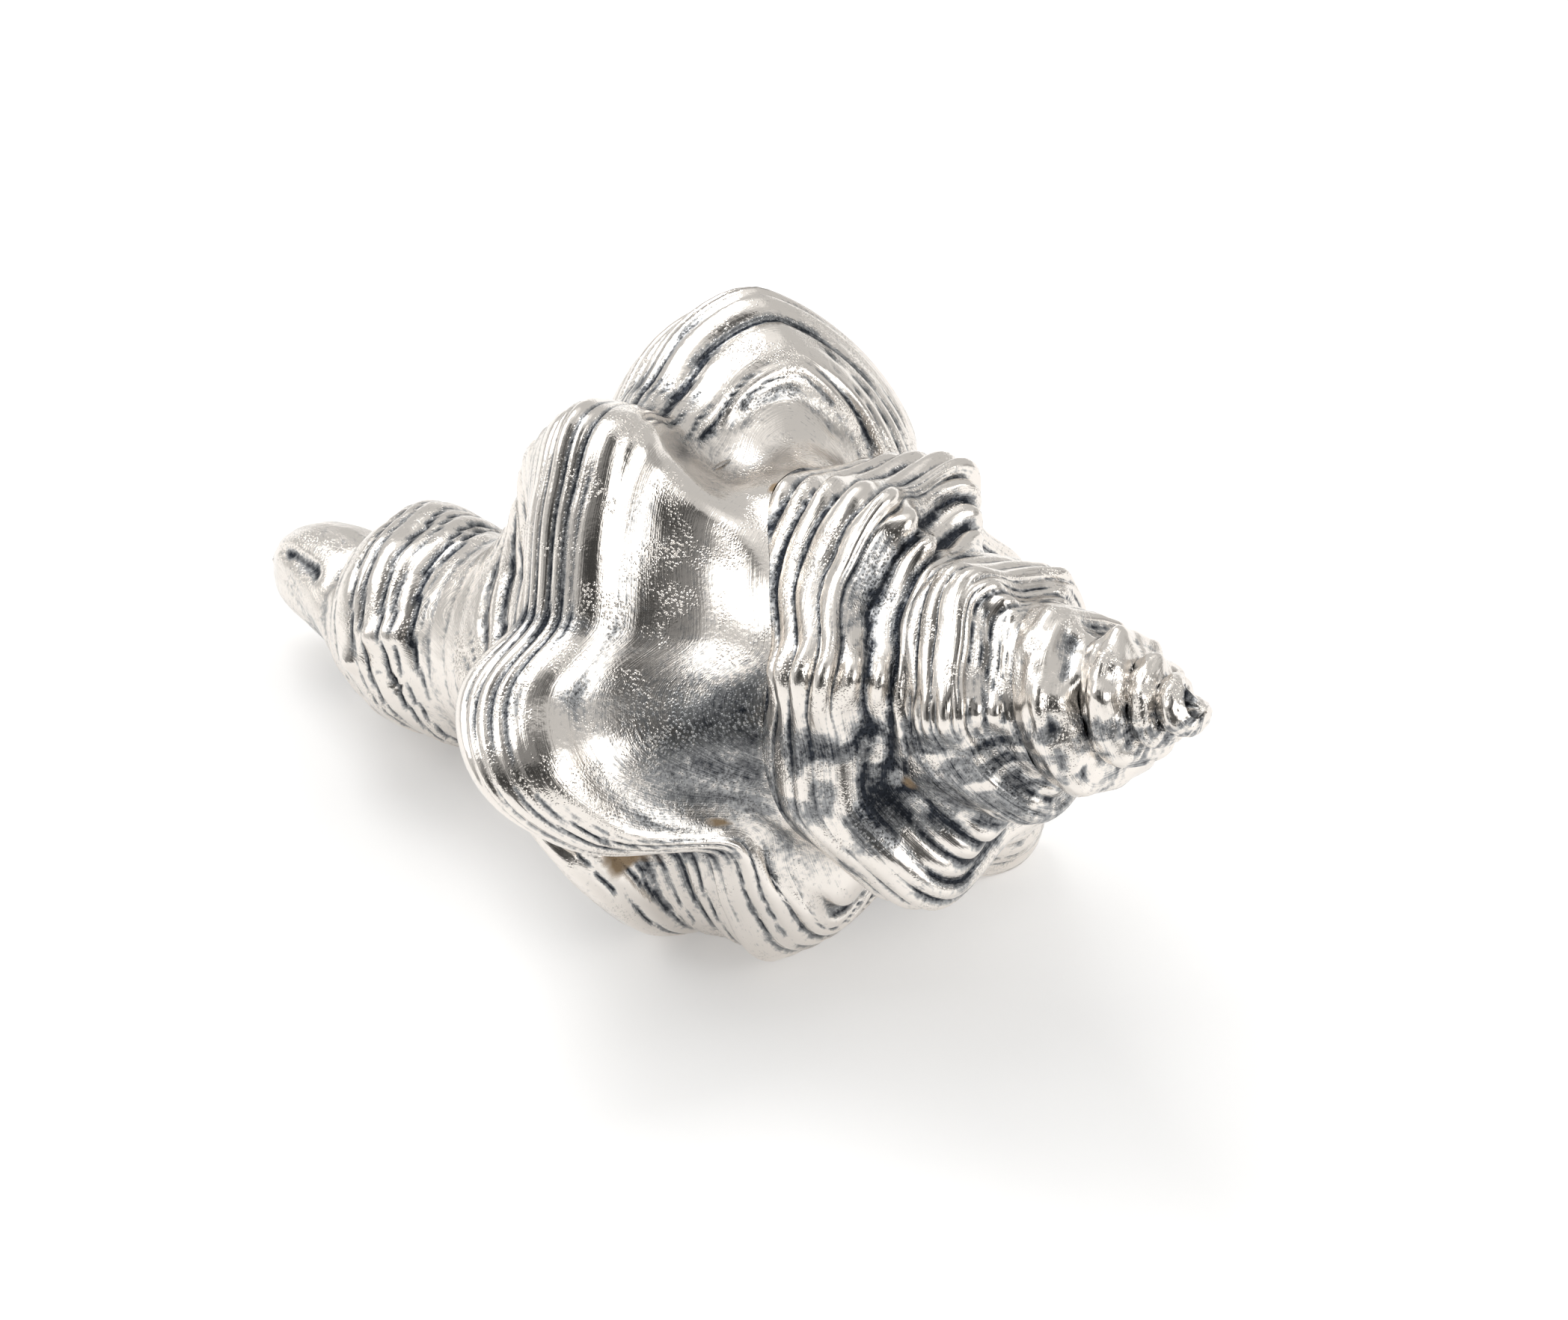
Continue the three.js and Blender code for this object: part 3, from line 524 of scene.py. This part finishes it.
# ---------------------------------------------------------------- silver
def silver():
    m = bpy.data.materials.new("silver")
    m.use_nodes = True
    nt = m.node_tree
    nt.nodes.clear()
    N = lambda kind, **kw: _node(nt, kind, kw)
    link = nt.links.new
    out = N("ShaderNodeOutputMaterial")
    bs = N("ShaderNodeBsdfPrincipled")
    link(bs.outputs[0], out.inputs[0])
    tarnish_and_shade = N("ShaderNodeAttribute", attribute_name="tarnish_and_shade")
    stain = N("ShaderNodeAttribute", attribute_name="stain")
    along = N("ShaderNodeAttribute", attribute_name="along")
    co = N("ShaderNodeTexCoord")

    def noise_of(source, scale, detail, stretch=None):
        n = N("ShaderNodeTexNoise")
        n.inputs["Scale"].default_value = scale
        n.inputs["Detail"].default_value = detail
        if stretch:
            k = N("ShaderNodeVectorMath", operation="MULTIPLY")
            link(source, k.inputs[0])
            k.inputs[1].default_value = stretch
            source = k.outputs[0]
        link(source, n.inputs["Vector"])
        return n.outputs["Fac"]

    def span(source, lo, hi, to_lo=0.0, to_hi=1.0, kind="LINEAR"):
        n = N("ShaderNodeMapRange", interpolation_type=kind)
        link(source, n.inputs["Value"])
        for k, v in zip(("From Min", "From Max", "To Min", "To Max"), (lo, hi, to_lo, to_hi)):
            n.inputs[k].default_value = v
        return n.outputs[0]

    def calc(op, a, b, c=None):
        n = N("ShaderNodeMath", operation=op)
        for k, v in enumerate((a, b, c)):
            if v is None:
                continue
            if isinstance(v, float):
                n.inputs[k].default_value = v
            else:
                link(v, n.inputs[k])
        return n.outputs[0]

    def bump(height, distance, before=None):
        n = N("ShaderNodeBump")
        n.inputs["Strength"].default_value = 1.0
        n.inputs["Distance"].default_value = distance
        link(height, n.inputs["Height"])
        if before is not None:
            link(before, n.inputs["Normal"])
        return n.outputs[0]

    obj = co.outputs["Object"]
    fine = noise_of(obj, 2600, 3)
    clump = noise_of(obj, 330, 3)
    brush = noise_of(along.outputs["Vector"], 1.0, 3, (6.0, 95.0, 0.0))
    soft = noise_of(obj, 260, 1)
    # tarnish in the grooves, with the painted shade and painted dark reflection carried in the same attribute, breaks
    # up into specks
    t = calc("ADD", tarnish_and_shade.outputs["Fac"], span(fine, 0.25, 0.75, -0.22, 0.22))
    t = calc("ADD", t, span(brush, 0.25, 0.75, -0.16, 0.16))
    ramp = N("ShaderNodeValToRGB")
    el = ramp.color_ramp.elements
    el[0].position, el[0].color = 0.12, (0.83, 0.785, 0.735, 1)
    el[1].position, el[1].color = 0.92, (0.035, 0.04, 0.05, 1)
    mid = el.new(0.45)
    mid.color = (0.36, 0.365, 0.37, 1)
    link(t, ramp.inputs[0])
    mix = N("ShaderNodeMix", data_type="RGBA")
    s = span(calc("ADD", stain.outputs["Fac"], span(clump, 0.3, 0.7, -0.4, 0.3)), 0.35, 0.75)
    link(s, mix.inputs["Factor"])
    link(ramp.outputs[0], mix.inputs[6])
    mix.inputs[7].default_value = (0.33, 0.235, 0.14, 1)
    link(mix.outputs[2], bs.inputs["Base Color"])
    link(span(s, 0, 1, 1.0, 0.15), bs.inputs["Metallic"])
    link(calc("MAXIMUM", span(t, 0.05, 0.9, 0.16, 0.46), span(s, 0, 1, 0.0, 0.6)), bs.inputs["Roughness"])
    # tiny beads, thick in the recesses
    vor = N("ShaderNodeTexVoronoi")
    vor.inputs["Scale"].default_value = 5200
    link(obj, vor.inputs["Vector"])
    bead = span(vor.outputs["Distance"], 0.12, 0.5, 1.0, 0.0, "SMOOTHSTEP")
    where = calc("ADD", span(clump, 0.50, 0.68, 0.0, 0.9), span(tarnish_and_shade.outputs["Fac"], 0.15, 0.7, 0.0, 1.0))
    where = calc("MINIMUM", where, 1.0)
    n1 = bump(fine, 0.000022, bump(brush, 0.000016))
    n2 = bump(soft, 0.00006, n1)
    n3 = bump(calc("MULTIPLY", bead, where), 0.00005, n2)
    link(n3, bs.inputs["Normal"])
    return m


def _node(nt, kind, kw):
    n = nt.nodes.new(kind)
    for k, v in kw.items():
        setattr(n, k, v)
    return n


me.materials.append(silver())
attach(shell, "root")
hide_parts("shell")

# ---------------------------------------------------------------- floor, light, camera
floor_me = bpy.data.meshes.new("floor")
floor_me.from_pydata([(-6, -6, 0), (6, -6, 0), (6, 6, 0), (-6, 6, 0)], [], [(0, 1, 2, 3)])
floor = bpy.data.objects.new("floor", floor_me)
bpy.context.scene.collection.objects.link(floor)
fm = bpy.data.materials.new("floor")
fm.use_nodes = True
fb = fm.node_tree.nodes["Principled BSDF"]
fb.inputs["Base Color"].default_value = (0.95, 0.948, 0.945, 1)
fb.inputs["Emission Color"].default_value = (1, 1, 1, 1)
fb.inputs["Emission Strength"].default_value = 0.24
fb.inputs["Roughness"].default_value = 0.55
floor_me.materials.append(fm)


def softbox(name, at, aim, size, power, colour=(1, 1, 1)):
    d = bpy.data.lights.new(name, "AREA")
    d.shape = "RECTANGLE"
    d.size, d.size_y = size
    d.energy = power
    d.color = colour
    o = bpy.data.objects.new(name, d)
    o.location = at
    o.rotation_mode = "QUATERNION"
    o.rotation_quaternion = (Vector(aim) - Vector(at)).to_track_quat("-Z", "Y")
    bpy.context.scene.collection.objects.link(o)
    return o


A, E = rad(37.6), rad(36.0)
cv = np.array([math.sin(A) * math.cos(E), -math.cos(A) * math.cos(E), math.sin(E)])
rv = np.array([math.cos(A), math.sin(A), 0.0])
uv = np.cross(cv, rv)
PXMM, DIST = 19.48, 450.0
target = (1048.0 - 1010.5) / PXMM * rv + (881.2 - 882.0) / PXMM * uv
eye = target + DIST * cv


def settle(p):
    """the small levelling turn, for a point or direction already in the tilted frame"""
    ro, pi = rad(ROLL), rad(PITCH)
    x, y, z = p
    y, z = y * math.cos(ro) - z * math.sin(ro), y * math.sin(ro) + z * math.cos(ro)
    return np.array([x * math.cos(pi) + z * math.sin(pi), y, -x * math.sin(pi) + z * math.cos(pi)])


cam = bpy.data.cameras.new("camera")
cam.sensor_width = 36
cam.lens = PXMM * DIST * 36 / 2096
cam.clip_start, cam.clip_end = 0.01, 50
co = bpy.data.objects.new("camera", cam)
R, U, B = settle(rv), settle(uv), settle(cv)
co.matrix_world = Matrix.Translation(Vector((settle(eye) + MOVE) / 1000)) @ Matrix([[R[0], U[0], B[0]], [R[1], U[1], B[1]], [R[2], U[2], B[2]]]).to_4x4()
bpy.context.scene.collection.objects.link(co)
bpy.context.scene.camera = co

view_dir = Vector((B[0], B[1], 0)).normalized()     # toward the camera, level
side = Vector((R[0], R[1], 0)).normalized()          # picture right
up = Vector((0, 0, 1))
softbox("key", -view_dir * 0.9 + up * 1.3 - side * 0.5, (0, 0, 0), (0.7, 0.7), 7)

# dark and bright patches of the room: azimuth from the camera, elevation, half-width, edge, level
STUDIO = [
    (0, 10, 46, 18, 0.30),
    (0, 8, 22, 12, 0.10),
    (-6, 50, 25, 6, 0.05),
    (0, 68, 18, 8, 0.08),
    (92, 6, 16, 12, 0.42),
    (-50, 62, 18, 8, 0.26),
    (-102, 47, 19, 5, 2.1),
    (61, 34, 21, 6, 2.2),
    (178, 60, 12, 12, 1.0),
]

world = bpy.data.worlds.new("studio")
bpy.context.scene.world = world
world.use_nodes = True
wt = world.node_tree
bg = wt.nodes["Background"]
wc = wt.nodes.new("ShaderNodeTexCoord")


def lobe(az, el, wide, soft):
    """1 inside a round patch of the studio wall, 0 outside it; az is from the camera's side, positive to the right"""
    d = view_dir * math.cos(rad(az)) * math.cos(rad(el)) + side * math.sin(rad(az)) * math.cos(rad(el)) + up * math.sin(rad(el))
    dot = wt.nodes.new("ShaderNodeVectorMath")
    dot.operation = "DOT_PRODUCT"
    wt.links.new(wc.outputs["Generated"], dot.inputs[0])
    dot.inputs[1].default_value = d
    m = wt.nodes.new("ShaderNodeMapRange")
    m.interpolation_type = "SMOOTHSTEP"
    m.inputs["From Min"].default_value = math.cos(rad(wide + soft))
    m.inputs["From Max"].default_value = math.cos(rad(wide))
    wt.links.new(dot.outputs["Value"], m.inputs["Value"])
    return m.outputs[0]


def blend(value, fac, to):
    m = wt.nodes.new("ShaderNodeMix")
    m.data_type = "FLOAT"
    wt.links.new(fac, m.inputs["Factor"])
    if isinstance(value, float):
        m.inputs[2].default_value = value
    else:
        wt.links.new(value, m.inputs[2])
    m.inputs[3].default_value = to
    return m.outputs[0]


sky = 0.64
for az, el, wide, soft, level in STUDIO:
    sky = blend(sky, lobe(az, el, wide, soft), level)
wt.links.new(sky, bg.inputs["Strength"])
bg.inputs["Color"].default_value = (1.0, 0.995, 0.985, 1)

bpy.context.scene.view_settings.view_transform = "Standard"
bpy.context.scene.view_settings.look = "None"
